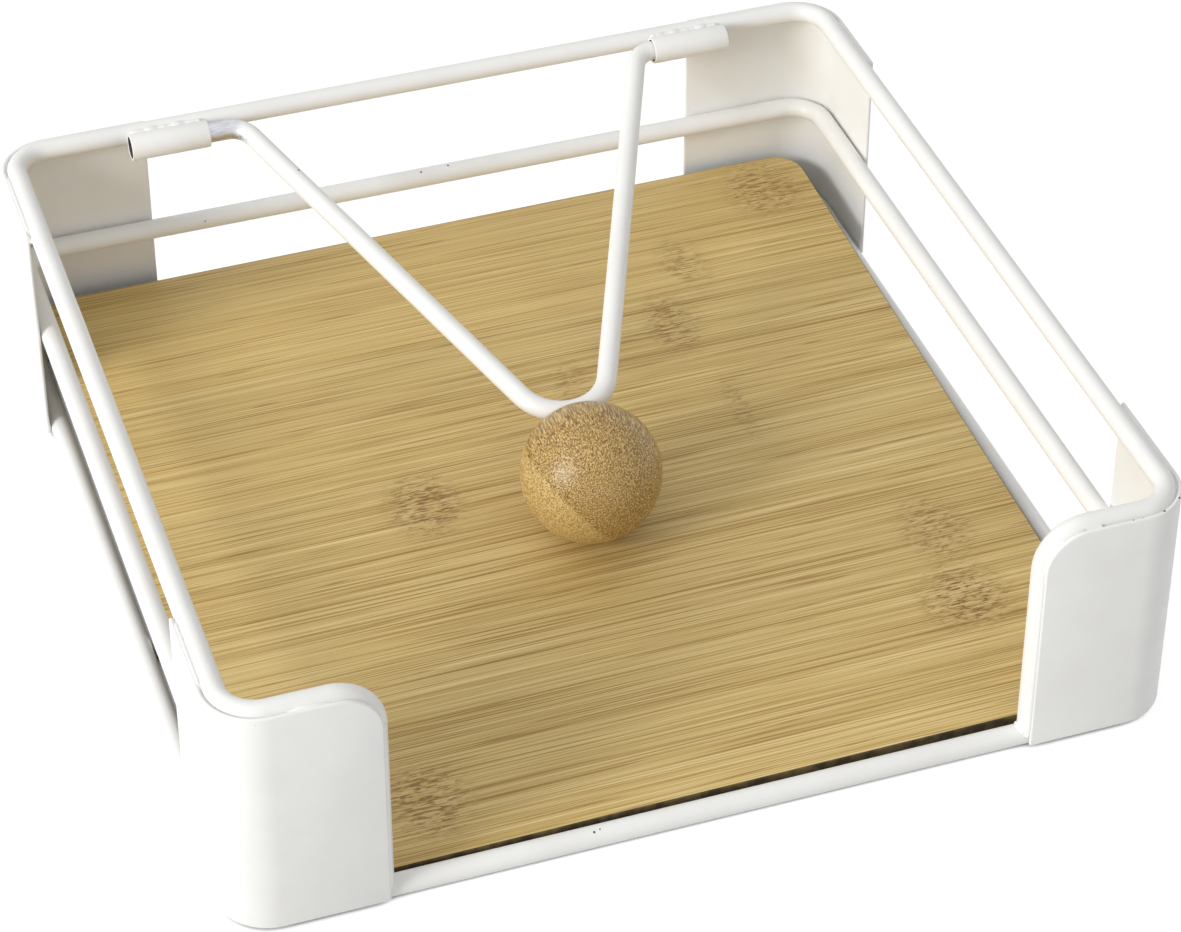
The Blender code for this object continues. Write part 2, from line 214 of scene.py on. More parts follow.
def powder_coat(name, chips=()):
    """Steel under white polyester powder, sprayed on dry and baked. It gives a satin white with the
    faint dimples of orange peel. chips are dark, sunk spots in the coat, nicks among them: x, y, z
    and radius."""
    made, tree, shader, place = add_finish(name)
    cloud = add_node(tree, "ShaderNodeTexNoise", {"Vector": place, "Scale": 1 / CLOUD_SIZE,
                     "Detail": 3.0, "Roughness": 0.6})
    tone = add_node(tree, "ShaderNodeMapRange", {"Value": cloud.outputs["Fac"],
                    "From Min": CLOUD_LIGHT, "From Max": CLOUD_SHADE})
    white = add_node(tree, "ShaderNodeMix", {"Factor": tone.outputs[0], "A": linear(COAT_COLOUR),
                     "B": linear(COAT_SHADE)}, data_type="RGBA")
    colour = white.outputs["Result"]
    peel = add_node(tree, "ShaderNodeTexNoise", {"Vector": place, "Scale": 1 / PEEL_SIZE,
                    "Detail": 2.0, "Roughness": 0.45})
    height = peel.outputs["Fac"]
    for x, y, z, radius in chips:
        away = add_node(tree, "ShaderNodeVectorMath", {0: place, 1: (x, y, z)},
                        operation="DISTANCE")
        ragged = add_node(tree, "ShaderNodeTexNoise", {"Vector": place, "Scale": 1 / RAGGED_SIZE,
                          "Detail": 2.0})
        rim = add_node(tree, "ShaderNodeMath", {0: ragged.outputs["Fac"], 1: radius * NICK_RAGGED,
                       2: away.outputs["Value"]}, operation="MULTIPLY_ADD")
        nick = add_node(tree, "ShaderNodeMapRange", {"Value": rim.outputs[0],
                        "From Min": radius * NICK_EDGE, "From Max": radius * NICK_CORE})
        worn = add_node(tree, "ShaderNodeMix", {"Factor": nick.outputs[0], "A": colour,
                        "B": linear(COAT_DIRT)}, data_type="RGBA")
        colour = worn.outputs["Result"]
        sunk = add_node(tree, "ShaderNodeMath", {0: height, 1: nick.outputs[0]},
                        operation="SUBTRACT")
        height = sunk.outputs[0]
    gloss = add_node(tree, "ShaderNodeMapRange", {"Value": cloud.outputs["Fac"],
                     "To Min": COAT_GLOSS, "To Max": COAT_MATT})
    bump = add_node(tree, "ShaderNodeBump", {"Height": height, "Strength": PEEL_STRENGTH,
                    "Distance": PEEL_DEPTH})
    tree.links.new(colour, shader.inputs["Base Color"])
    tree.links.new(gloss.outputs[0], shader.inputs["Roughness"])
    tree.links.new(bump.outputs[0], shader.inputs["Normal"])
    shader.inputs["IOR"].default_value = COAT_IOR
    return made


def bent_wire(corners, bends=(), radius=WIRE_RADIUS):
    """A straight length of wire, bent round a former of its radius at each corner."""
    shape = bmesh.new()
    heading = (corners[1] - corners[0]).normalized()
    start = Matrix.Translation(corners[0]) @ heading.to_track_quat("Z", "Y").to_matrix().to_4x4()
    bmesh.ops.create_circle(shape, segments=WIRE_SIDES, radius=radius, matrix=start)
    front = shape.verts[:] + shape.edges[:]
    here = corners[0]
    for place, corner in enumerate(corners[1:]):
        turning = place < len(bends)
        setback = 0
        if turning:
            after = (corners[place + 2] - corner).normalized()
            angle = heading.angle(after)
            setback = bends[place] * math.tan(angle / 2)
        run = corner - heading * setback - here
        edges = [part for part in front if isinstance(part, bmesh.types.BMEdge)]
        front = bmesh.ops.extrude_edge_only(shape, edges=edges)["geom"]
        front = [part for part in front if not isinstance(part, bmesh.types.BMFace)]
        moved = [part for part in front if isinstance(part, bmesh.types.BMVert)]
        bmesh.ops.translate(shape, verts=moved, vec=run)
        here = here + run
        if turning:
            axis = heading.cross(after).normalized()
            centre = here + axis.cross(heading) * bends[place]
            spun = bmesh.ops.spin(shape, geom=front, cent=centre, axis=axis, angle=angle,
                                  steps=max(FEWEST_BEND_STEPS, round(angle / BEND_STEP)))
            front = spun["geom_last"]
            here = corner + after * setback
            heading = after
    bmesh.ops.remove_doubles(shape, verts=shape.verts, dist=MERGED)
    return shape


def show(name, shape, materials, slot, body, *nodes):
    """Makes the shape a smooth piece that rides on its body and stands for its CAD nodes."""
    bmesh.ops.recalc_face_normals(shape, faces=shape.faces)
    piece = add_object(name, shape)
    piece.data.shade_smooth()
    piece.data.set_sharp_from_angle(angle=SHADED_ROUND)
    for material in materials:
        piece.data.materials.append(material)
    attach(piece, body)
    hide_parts(*nodes)
    return piece


ring_coat = powder_coat("powder_coated_steel_ring", RING_CHIPS)
ring_corners = [Vector((x * FRAME_HALF, y * FRAME_HALF, RING_HEIGHT))
                for x, y in ((0, 1), (-1, 1), (-1, -1), (1, -1), (1, 1), (0, 1))]
ring = bent_wire(ring_corners, [FRAME_CORNER] * 4)
show("ring_wire", ring, [ring_coat], "white_powder_coat", "frame", "bottom_rail")

# MIDDLE RAIL. The same wire, round the left side, the back and the right side at half height.
# Its two cut ends stop behind the front plates, where it is welded on.
MIDDLE_HEIGHT = 0.0257
MIDDLE_END = -0.0740
END_ROUND = 0.0004
WIRE_CHIPS = ((-0.0015, 0.0883, 0.0276, 0.00025), (0.0047, 0.0887, 0.0277, 0.00028),
              (-0.0497, 0.0871, 0.0265, 0.0002))


def cap_ends(shape, rounding=END_ROUND):
    """Closes a wire's cut ends and eases their rims, as the coat does."""
    rims = [part for part in shape.edges if part.is_boundary]
    bmesh.ops.holes_fill(shape, edges=rims, sides=0)
    bmesh.ops.recalc_face_normals(shape, faces=shape.faces)
    if rounding:
        bmesh.ops.bevel(shape, geom=rims, offset=rounding, offset_type="OFFSET", segments=3,
                        profile=0.5, affect="EDGES", material=-1, clamp_overlap=True)


frame_coat = powder_coat("powder_coated_steel_wire", WIRE_CHIPS)
middle_corners = [Vector((-FRAME_HALF, MIDDLE_END, MIDDLE_HEIGHT)),
                  Vector((-FRAME_HALF, FRAME_HALF, MIDDLE_HEIGHT)),
                  Vector((FRAME_HALF, FRAME_HALF, MIDDLE_HEIGHT)),
                  Vector((FRAME_HALF, MIDDLE_END, MIDDLE_HEIGHT))]
middle = bent_wire(middle_corners, [FRAME_CORNER] * 2)
cap_ends(middle)
show("middle_wire", middle, [frame_coat], "white_powder_coat", "frame", "middle_rail")

# TOP RAIL. One wire makes the rim and both front legs: up from the ring, round the left side,
# the back and the right side, and down again. Its cut ends are welded down onto the ring.
TOP_HEIGHT = 0.0507
LEG_X = 0.0627
LEG_BEND = 0.0083
FOOT_HEIGHT = RING_HEIGHT + WIRE_RADIUS * 0.6

right_half = [Vector((FRAME_HALF, FRAME_HALF, TOP_HEIGHT)),
              Vector((FRAME_HALF, -FRAME_HALF, TOP_HEIGHT)),
              Vector((LEG_X, -FRAME_HALF, TOP_HEIGHT)), Vector((LEG_X, -FRAME_HALF, FOOT_HEIGHT))]
left_half = [Vector((-corner.x, corner.y, corner.z)) for corner in reversed(right_half)]
rim_bends = [LEG_BEND, FRAME_CORNER, FRAME_CORNER, FRAME_CORNER, FRAME_CORNER, LEG_BEND]
rim = bent_wire(left_half + right_half, rim_bends)
cap_ends(rim, 0)
show("rim_wire", rim, [frame_coat], "white_powder_coat", "frame", "top_rail")

# CORNER PLATES. Four pieces of thin sheet steel, cut flat and bent round the corners outside the
# wires; the front two have one upper corner rounded to follow the leg's bend. The coat rounds
# their edges off, and has run into the seams between plates and wires.
SHEET = 0.0008
PLATE_INSIDE = 0.0913
PLATE_BOTTOM = 0.0013
PLATE_TOP = 0.0515
PLATE_BEND = 0.0097
PLATE_BEND_STEPS = 12
PLATE_CORNER = 0.0082
PLATE_CORNER_STEPS = 10
PLATE_EDGE_ROUND = 0.00036
SHARP = math.radians(60)
FRONT_EDGE = 0.0620
BACK_EDGE = 0.0601
BACK_STRAIGHT = 0.0815
# Dark, sunk spots in the front plates' coat near their top edges; the four on the right front plate
# lie along its top seam at the bend and darken that seam
PLATE_DARK_SPOTS = ((-0.0844, -0.0921, 0.0503, 0.0004), (0.0787, -0.0915, 0.0514, 0.0003),
               (0.0806, -0.0914, 0.0515, 0.0003), (0.0850, -0.0910, 0.0515, 0.0003),
               (0.0893, -0.0885, 0.0515, 0.0003))

LOW_BEAD = 0.00026
FULL_BEAD = 0.00050
LEG_BEAD = 0.00058
BEAD_INSET = 0.0001
BEAD_LIFT = 0.0005
BEAD_FOOT = 0.0030
BEAD_RAMP = 0.0022
BEAD_SINK = 0.0008


def round_edges(shape, rounding):
    """Rounds every sharp edge of a shape a little, as coat or sandpaper does."""
    sharp = [part for part in shape.edges if len(part.link_faces) == 2
             and part.calc_face_angle() > SHARP]
    bmesh.ops.bevel(shape, geom=sharp, offset=rounding, segments=3, profile=0.5, affect="EDGES",
                    material=-1, clamp_overlap=True)


def corner_plate(side, end, edge, flank_end, corner_radius):
    """One plate: the flat front or back face, then the bend, then the flank, then its thickness."""
    shape = bmesh.new()
    face_end = PLATE_INSIDE - PLATE_BEND
    outline = [(edge, PLATE_BOTTOM), (face_end, PLATE_BOTTOM), (face_end, PLATE_TOP),
               (edge, PLATE_TOP)]
    verts = [shape.verts.new((side * x, end * PLATE_INSIDE, z)) for x, z in outline]
    shape.faces.new(verts)
    bend_edge = [part for part in shape.edges
                 if all(abs(abs(vert.co.x) - face_end) < MERGED for vert in part.verts)]
    if corner_radius:
        bmesh.ops.bevel(shape, geom=[verts[3]], offset=corner_radius, segments=PLATE_CORNER_STEPS,
                        profile=0.5, affect="VERTICES", material=-1)
    spun = bmesh.ops.spin(shape, geom=bend_edge + list(bend_edge[0].verts), axis=(0, 0, 1),
                          cent=(side * face_end, end * face_end, 0),
                          angle=-math.pi / 2 * side * end, steps=PLATE_BEND_STEPS)
    last = [part for part in spun["geom_last"] if isinstance(part, bmesh.types.BMEdge)]
    flank = bmesh.ops.extrude_edge_only(shape, edges=last)["geom"]
    moved = [part for part in flank if isinstance(part, bmesh.types.BMVert)]
    bmesh.ops.translate(shape, verts=moved, vec=(0, end * (flank_end - face_end), 0))
    bmesh.ops.remove_doubles(shape, verts=shape.verts, dist=MERGED)
    bmesh.ops.recalc_face_normals(shape, faces=shape.faces)
    outward = shape.faces[:][0].normal.dot(Vector((0, end, 0))) > 0
    if not outward:
        bmesh.ops.reverse_faces(shape, faces=shape.faces)
    bmesh.ops.solidify(shape, geom=shape.faces[:], thickness=-SHEET)
    bmesh.ops.recalc_face_normals(shape, faces=shape.faces)
    round_edges(shape, PLATE_EDGE_ROUND)
    return shape


def add_bead(shape, corners, bends, radius):
    """A bead of powder that has run into the seam between the plate and the wire."""
    bead = bent_wire(corners, bends, radius)
    cap_ends(bead, 0)
    carried = bpy.data.meshes.new("bead")
    bead.to_mesh(carried)
    bead.free()
    shape.from_mesh(carried)
    bpy.data.meshes.remove(carried)


def run_out(start, end, sink):
    """The line of a bead whose two ends sink away into the seam."""
    ramp = (end - start).normalized() * BEAD_RAMP
    return [start + sink, start + ramp, end - ramp, end + sink]


def fill_seam(shape, side, end, edge, flank_end, straight):
    """A low bead all along the rim, and a fuller one where the plate lies close to the wire."""
    low, high = TOP_HEIGHT, TOP_HEIGHT + BEAD_LIFT
    line = PLATE_INSIDE - BEAD_INSET
    bend = PLATE_BEND - BEAD_INSET
    down = Vector((0, 0, -BEAD_SINK))
    across = [Vector((side * edge, end * line, low)), Vector((side * line, end * line, low)),
              Vector((side * line, end * flank_end, low))]
    if end > 0:
        add_bead(shape, across, [bend], LOW_BEAD)
        face_seam = (Vector((side * edge, line, high)), Vector((side * straight, line, high)))
    else:
        leg = [Vector((side * (edge - BEAD_INSET), -line, BEAD_FOOT))]
        add_bead(shape, leg + across, [PLATE_CORNER, bend], LOW_BEAD)
        face_seam = (Vector((side * straight, -line, high)),
                     Vector((side * (edge + PLATE_CORNER), -line, high)))
    add_bead(shape, run_out(*face_seam, down), (), FULL_BEAD)
    if end < 0:
        foot = Vector((side * edge, -line - BEAD_INSET, BEAD_FOOT))
        knee = foot + Vector((0, 0, PLATE_TOP - PLATE_CORNER - foot.z))
        add_bead(shape, run_out(foot, knee, Vector((0, BEAD_SINK, 0))), (), LEG_BEAD)
    flank_seam = (Vector((side * line, end * (line - bend), high)),
                  Vector((side * line, end * flank_end, high)))
    add_bead(shape, run_out(*flank_seam, down), (), FULL_BEAD)


plate_coat = powder_coat("powder_coated_sheet_steel", PLATE_DARK_SPOTS)

# Each side's name and direction, where its front and back flanks end, and how far along the front
# face the fuller bead runs
for side_name, side, front_flank, back_flank, front_straight in (
        ("left", -1, 0.0615, 0.0585, 0.0790), ("right", 1, 0.0597, 0.0632, 0.0715)):
    front_plate = corner_plate(side, -1, FRONT_EDGE, front_flank, PLATE_CORNER)
    fill_seam(front_plate, side, -1, FRONT_EDGE, front_flank, front_straight)
    show("front_plate_" + side_name, front_plate, [plate_coat], "white_powder_coat", "frame",
         "corner_plate_front_" + side_name)
    back_plate = corner_plate(side, 1, BACK_EDGE, back_flank, 0)
    fill_seam(back_plate, side, 1, BACK_EDGE, back_flank, BACK_STRAIGHT)
    show("back_plate_" + side_name, back_plate, [plate_coat], "white_powder_coat", "frame",
         "corner_plate_back_" + side_name)

# FOOT WELDS. A small run of weld metal lies in the corner between each leg and the ring, on the
# leg's inner side, and the powder has flowed over it.
FOOT_BLOB = 0.000525
FOOT_BLOBS_EACH_WAY = 3
FOOT_BLOB_TURN = math.radians(20)
FOOT_BLOB_STRETCH = (1.0, 1.0, 0.8)
FOOT_GRAIN = 0.00018
FLOW_PASSES = 7


def applied(piece):
    """The mesh of a piece with its modifiers applied."""
    bpy.context.view_layer.update()
    ready = piece.evaluated_get(bpy.context.evaluated_depsgraph_get())
    return bpy.data.meshes.new_from_object(ready)


def weld_metal(blobs, grain):
    """Beads of weld metal, each (place, radius, stretch), run together under the coat."""
    shape = bmesh.new()
    for place, radius, stretch in blobs:
        stretched = Matrix.Translation(place) @ Matrix.Diagonal((*stretch, 1.0))
        bmesh.ops.create_icosphere(shape, subdivisions=3, radius=radius, matrix=stretched)
    beads = add_object("beads", shape)
    flow = beads.modifiers.new("flow", "REMESH")
    flow.mode = "VOXEL"
    flow.voxel_size = grain
    ease = beads.modifiers.new("ease", "SMOOTH")
    ease.factor = 0.5
    ease.iterations = FLOW_PASSES
    run = applied(beads)
    bpy.data.meshes.remove(beads.data)
    joined = bmesh.new()
    joined.from_mesh(run)
    bpy.data.meshes.remove(run)
    return joined


for side_name, side in (("left", -1), ("right", 1)):
    blobs = []
    for step in range(-FOOT_BLOBS_EACH_WAY, FOOT_BLOBS_EACH_WAY + 1):
        around = step * FOOT_BLOB_TURN
        out = Vector((-side * math.cos(around), -math.sin(around), 0)) * WIRE_RADIUS
        on_ring = RING_HEIGHT + math.sqrt(WIRE_RADIUS ** 2 - out.y ** 2)
        blobs.append((Vector((side * LEG_X, -FRAME_HALF, on_ring)) + out, FOOT_BLOB,
                      FOOT_BLOB_STRETCH))
    show("foot_weld_metal_" + side_name, weld_metal(blobs, FOOT_GRAIN), [frame_coat],
         "white_powder_coat", "frame", "foot_weld_" + side_name)

# CROSS WIRES. Two more lengths of the wire carry the board from below: one level with the ring,
# the other laid on top of it further back, so that the board slopes down to the front.
for name, node in (("front_cross_wire", "front_carrier"), ("rear_cross_wire", "rear_carrier")):
    low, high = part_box(node)
    core = (low + high) / 2
    cross = bent_wire([Vector((low.x, core.y, core.z)), Vector((high.x, core.y, core.z))])
    cap_ends(cross)
    show(name, cross, [frame_coat], "white_powder_coat", "frame", node)

# HINGE TUBES. Two short lengths of steel tube, welded in front of the back rim, in which the
# arm's pins turn. The powder is thick on their rims and leaves the bores bare; their steel is
# painted near black, which is painted shade inside the bores.
TUBE_RADIUS = 0.00285
TUBE_BORE = 0.00230
TUBE_RIM = 0.00018
BORE_REACH = TUBE_BORE + 0.00002
HINGE_Y = 0.08395
# Painted shade: the bare bore's steel is darkened to near black
BORE_SHADE_BLACK = "#26242a"
BORE_RUST = "#4a4543"
RUST_SIZE = 0.7 * MILLIMETRE
BORE_MATT = 0.6

tube_coat = powder_coat("powder_coated_steel_tube")

# Bare steel that the spray didn't reach: dull and faintly mottled with rust, and painted nearly
# black, which is painted shade inside the bore
bore_steel_and_shade, tree, shader, where = add_finish("uncoated_tube_bore_painted_shade")
rust = add_node(tree, "ShaderNodeTexNoise", {"Vector": where, "Scale": 1 / RUST_SIZE,
                "Detail": 3.0})
bore_tone = add_node(tree, "ShaderNodeMix", {"Factor": rust.outputs["Fac"],
                     "A": linear(BORE_SHADE_BLACK), "B": linear(BORE_RUST)}, data_type="RGBA")
tree.links.new(bore_tone.outputs["Result"], shader.inputs["Base Color"])
shader.inputs["Roughness"].default_value = BORE_MATT

for side_name in ("left", "right"):
    low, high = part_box("hinge_tube_" + side_name)
    tube = bent_wire([Vector((x, HINGE_Y, TOP_HEIGHT)) for x in (low.x, high.x)], (), TUBE_RADIUS)
    bmesh.ops.recalc_face_normals(tube, faces=tube.faces)
    bmesh.ops.solidify(tube, geom=tube.faces[:], thickness=TUBE_RADIUS - TUBE_BORE)
    bmesh.ops.recalc_face_normals(tube, faces=tube.faces)
    round_edges(tube, TUBE_RIM)
    for face in tube.faces:
        reach = face.calc_center_median() - Vector((0, HINGE_Y, TOP_HEIGHT))
        face.material_index = 1 if math.hypot(reach.y, reach.z) < BORE_REACH else 0
    show("hinge_sleeve_" + side_name, tube, [tube_coat, bore_steel_and_shade], "white_powder_coat", "frame",
         "hinge_tube_" + side_name)

# HINGE WELDS. Each tube is tacked to the rim by a row of weld spots in the groove on top. They
# are uneven, as hand welds are, and the powder has filled the groove between them.
WELD_SPOTS = {"left": (0.06, 0.26, 0.47, 0.68, 0.88), "right": (0.10, 0.33, 0.52, 0.78, 0.93)}
WELD_SIZES = (0.85, 1.1, 0.8, 1.15, 0.7)
WELD_RADIUS = 0.00078
WELD_SINK = 0.0005
WELD_STRETCH = (1.7, 1.0, 0.62)
FILL_RADIUS = 0.85 * WELD_RADIUS
FILL_SINK = 0.0007
FILL_STRETCH = (1.3, 1.0, 0.8)
FILL_STEPS = 14
WELD_GRAIN = 0.00016

for side_name, spots in WELD_SPOTS.items():
    low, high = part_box("hinge_weld_" + side_name)
    groove = (low + high) / 2
    blobs = [(Vector((low.x + (high.x - low.x) * share, groove.y, groove.z - WELD_SINK)),
              WELD_RADIUS * size, WELD_STRETCH) for share, size in zip(spots, WELD_SIZES)]
    blobs += [(Vector((low.x + (high.x - low.x) * step / FILL_STEPS, groove.y,
                       groove.z - FILL_SINK)), FILL_RADIUS, FILL_STRETCH)
              for step in range(FILL_STEPS + 1)]
    show("hinge_weld_metal_" + side_name, weld_metal(blobs, WELD_GRAIN), [tube_coat],
         "white_powder_coat", "frame", "hinge_weld_" + side_name)

# ARM. One wire: a pin into each hinge tube and a V between them with a round tip. Turning in the
# tube has scraped the coat off the left pin, so streaked grey steel shows there.
HINGE = Vector((0.0025, HINGE_Y, TOP_HEIGHT))
REST_SLOPE = math.radians(13.8954)
PIN_END = 0.0615
ARM_SPREAD = 0.0435
ARM_LENGTH = 0.1045
PIN_BEND = 0.0050
TIP_BEND = 0.0097
ARM_CHIPS = ((-0.0428, 0.0825, 0.0490, 0.0004), (-0.0333, 0.0679, 0.0486, 0.00032))

SCRAPED_FROM = 0.0452
SCRAPED_TO = 0.0472
SCRAPE_FRAY = 4 * MILLIMETRE
STREAK_LENGTH = 2.2 * MILLIMETRE
STREAK_WIDTH = 0.35 * MILLIMETRE
STEEL_LIGHT = "#f4f5f8"
STEEL_DARK = "#a2a2ac"
STEEL_GLOSS = 0.42

on_arm = Matrix.Translation(HINGE) @ Matrix.Rotation(REST_SLOPE, 4, "X")
arm_corners = [on_arm @ Vector(corner) for corner in (
    (-PIN_END, 0, 0), (-ARM_SPREAD, 0, 0), (0, -ARM_LENGTH, 0), (ARM_SPREAD, 0, 0),
    (PIN_END, 0, 0))]
arm_bends = [PIN_BEND, TIP_BEND, PIN_BEND]

# The frame's white coat, and cold drawn steel where it is scraped off: a bright grey with streaks
# along the wire, which are drawn coarser than real scratches, so that they show
arm_coat = powder_coat("powder_coated_arm_wire", ARM_CHIPS)
tree = arm_coat.node_tree
coated = tree.nodes["Principled BSDF"]
steel = add_node(tree, "ShaderNodeBsdfPrincipled", {"Metallic": 1.0, "Roughness": STEEL_GLOSS})
where = add_node(tree, "ShaderNodeTexCoord").outputs["Object"]
streak_place = add_node(tree, "ShaderNodeMapping", {
    "Vector": where, "Scale": (STREAK_LENGTH, STREAK_WIDTH, STREAK_WIDTH)}, vector_type="TEXTURE")
streaks = add_node(tree, "ShaderNodeTexNoise", {"Vector": streak_place.outputs[0], "Scale": 1.0,
                   "Detail": 3.0})
steel_tone = add_node(tree, "ShaderNodeMix", {"Factor": streaks.outputs["Fac"],
                      "A": linear(STEEL_DARK), "B": linear(STEEL_LIGHT)}, data_type="RGBA")
tree.links.new(steel_tone.outputs["Result"], steel.inputs["Base Color"])
across = add_node(tree, "ShaderNodeSeparateXYZ", {"Vector": where})
to_left = add_node(tree, "ShaderNodeMath", {0: HINGE.x, 1: across.outputs["X"]},
                   operation="SUBTRACT")
frayed = add_node(tree, "ShaderNodeMath", {0: streaks.outputs["Fac"], 1: SCRAPE_FRAY,
                  2: to_left.outputs[0]}, operation="MULTIPLY_ADD")
bare = add_node(tree, "ShaderNodeMapRange", {
    "Value": frayed.outputs[0], "From Min": SCRAPED_FROM, "From Max": SCRAPED_TO},
    interpolation_type="SMOOTHSTEP")
both = add_node(tree, "ShaderNodeMixShader", {0: bare.outputs[0], 1: coated.outputs[0],
                2: steel.outputs[0]})
tree.links.new(both.outputs[0], tree.nodes["Material Output"].inputs["Surface"])

arm = bent_wire(arm_corners, arm_bends)
cap_ends(arm)
show("arm_bent_wire", arm, [arm_coat], "white_powder_coat", "arm", "arm_wire")

# BALL. Turned from a block of glued bamboo strips, sanded and waxed. A groove seats the arm's
# tip, and a hidden stud holds it there.
BALL_RADIUS = 0.0140
BALL_SEGMENTS = 120
BALL_RINGS = 72
FIT_GAP = 0.00025
BALL_LOW, BALL_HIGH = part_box("ball")
BALL_CENTRE = (BALL_LOW + BALL_HIGH) / 2

FIBRE_TURN = tuple(math.radians(angle) for angle in (-68.26, 39.20, -174.14))
FIBRE_WIDTH = 0.27 * MILLIMETRE
FIBRE_LENGTH = 7 * MILLIMETRE
FIBRE_DARK, FIBRE_LIGHT = 0.36, 0.62
PORE_DARK, PORE_LIGHT = 0.12, 0.45
PORES_PER_FIBRE = 0.85
LAYER_EDGE = 0.0057
LAYER_BLUR = 0.0002
LAYER_LIFT = 0.30
BALL_TONES = {"dark": "#775727", "body": "#b49150", "light": "#d9bc80"}
BALL_BODY_AT = 0.55
WAX_PATCH = 9 * MILLIMETRE
WAX_GLOSS, WAX_MATT = 0.27, 0.40
PORE_DEPTH = 0.06 * MILLIMETRE
PORE_STRENGTH = 0.35

# Waxed bamboo end grain: the cut fibres show as dark dots where they point outwards and as
# streaks elsewhere, one glued layer is lighter, and the wax gives a soft highlight
wood, tree, shader, where = add_finish("turned_bamboo")
fibre_place = add_node(tree, "ShaderNodeMapping", {
    "Vector": where, "Location": BALL_CENTRE, "Rotation": FIBRE_TURN,
    "Scale": (FIBRE_WIDTH, FIBRE_WIDTH, FIBRE_LENGTH)}, vector_type="TEXTURE")
fibres = add_node(tree, "ShaderNodeTexNoise", {"Vector": fibre_place.outputs[0], "Scale": 1.0,
                  "Detail": 2.0, "Roughness": 0.55, "Distortion": 0.25})
pores = add_node(tree, "ShaderNodeTexVoronoi", {"Vector": fibre_place.outputs[0],
                 "Scale": PORES_PER_FIBRE})
layer_place = add_node(tree, "ShaderNodeMapping", {
    "Vector": where, "Location": BALL_CENTRE, "Rotation": FIBRE_TURN}, vector_type="TEXTURE")
layers = add_node(tree, "ShaderNodeSeparateXYZ", {"Vector": layer_place.outputs[0]})
outer_layer = add_node(tree, "ShaderNodeMapRange", {
    "Value": layers.outputs["X"], "From Min": LAYER_EDGE - LAYER_BLUR,
    "From Max": LAYER_EDGE + LAYER_BLUR})
grain = add_node(tree, "ShaderNodeMapRange", {"Value": fibres.outputs["Fac"],
                 "From Min": FIBRE_DARK, "From Max": FIBRE_LIGHT})
dot = add_node(tree, "ShaderNodeMapRange", {"Value": pores.outputs["Distance"],
               "From Min": PORE_DARK, "From Max": PORE_LIGHT})
mottle = add_node(tree, "ShaderNodeMath", {0: grain.outputs[0], 1: dot.outputs[0]},
                  operation="MULTIPLY")
lifted = add_node(tree, "ShaderNodeMath", {0: outer_layer.outputs[0], 1: LAYER_LIFT,
                  2: mottle.outputs[0]}, operation="MULTIPLY_ADD")
tones = add_node(tree, "ShaderNodeValToRGB", {"Fac": lifted.outputs[0]})
tones.color_ramp.elements[0].color = linear(BALL_TONES["dark"])
tones.color_ramp.elements[1].color = linear(BALL_TONES["light"])
tones.color_ramp.elements.new(BALL_BODY_AT).color = linear(BALL_TONES["body"])
cloud = add_node(tree, "ShaderNodeTexNoise", {"Vector": where, "Scale": 1 / WAX_PATCH,
                 "Detail": 2.0})
sheen = add_node(tree, "ShaderNodeMapRange", {"Value": cloud.outputs["Fac"],
                 "To Min": WAX_GLOSS, "To Max": WAX_MATT})
relief = add_node(tree, "ShaderNodeBump", {"Height": mottle.outputs[0],
                  "Strength": PORE_STRENGTH, "Distance": PORE_DEPTH})
tree.links.new(tones.outputs["Color"], shader.inputs["Base Color"])
tree.links.new(sheen.outputs[0], shader.inputs["Roughness"])
tree.links.new(relief.outputs[0], shader.inputs["Normal"])

ball = bmesh.new()
on_side = Matrix.Translation(BALL_CENTRE) @ Matrix.Rotation(math.pi / 2, 4, "X")
bmesh.ops.create_uvsphere(ball, u_segments=BALL_SEGMENTS, v_segments=BALL_RINGS,
                          radius=BALL_RADIUS, matrix=on_side)
ball_piece = show("turned_ball", ball, [wood], "ball_bamboo", "arm", "ball")
seat_shape = bent_wire(arm_corners, arm_bends, WIRE_RADIUS + FIT_GAP)
cap_ends(seat_shape, 0)
seat = add_object("seat", seat_shape)
groove = ball_piece.modifiers.new("groove", "BOOLEAN")
groove.operation = "DIFFERENCE"
groove.object = seat
grooved = applied(ball_piece)
ball_piece.modifiers.clear()
ball_piece.data = grooved
bpy.data.meshes.remove(seat.data)

# STUD. The steel stud that joins the ball to the wire is hidden inside them. It is cut from
# drawn rod, which leaves its grey faintly mottled and its gloss uneven.
DRAWN_GRAIN = 0.6 * MILLIMETRE
DRAWN_GLOSS, DRAWN_MATT = 0.28, 0.45

stud_steel, tree, shader, where = add_finish("drawn_steel")
shader.inputs["Metallic"].default_value = 1.0
drawn = add_node(tree, "ShaderNodeTexNoise", {"Vector": where, "Scale": 1 / DRAWN_GRAIN})
drawn_tone = add_node(tree, "ShaderNodeMix", {"Factor": drawn.outputs["Fac"],
                      "A": linear(STEEL_DARK), "B": linear(STEEL_LIGHT)}, data_type="RGBA")
drawn_gloss = add_node(tree, "ShaderNodeMapRange", {"Value": drawn.outputs["Fac"],
                       "To Min": DRAWN_GLOSS, "To Max": DRAWN_MATT})
tree.links.new(drawn_tone.outputs["Result"], shader.inputs["Base Color"])
tree.links.new(drawn_gloss.outputs[0], shader.inputs["Roughness"])
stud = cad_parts["ball_stud"]
stud.data.materials.clear()
stud.data.materials.append(stud_steel)

# BASE BOARD. Bamboo strips about 19 mm wide, glued edge to edge and sanded, with a thin matt
# oil. The outline is cut with a laser, which chars the edges dark brown. It lies loose on the
# cross wires.
BOARD_HALF_WIDTH = 0.0859
BOARD_FRONT = 0.0860
BOARD_BACK = 0.0885
BOARD_FRONT_HEIGHT = 0.0034
BOARD_THICKNESS = 0.0031
BOARD_CORNER = 0.0065
BOARD_CORNER_STEPS = 10
BOARD_EDGE = 0.0005
BOARD_RISE = math.radians(3.1999)
BOARD_TURN = math.radians(0.45)
FACES_UP = 0.9

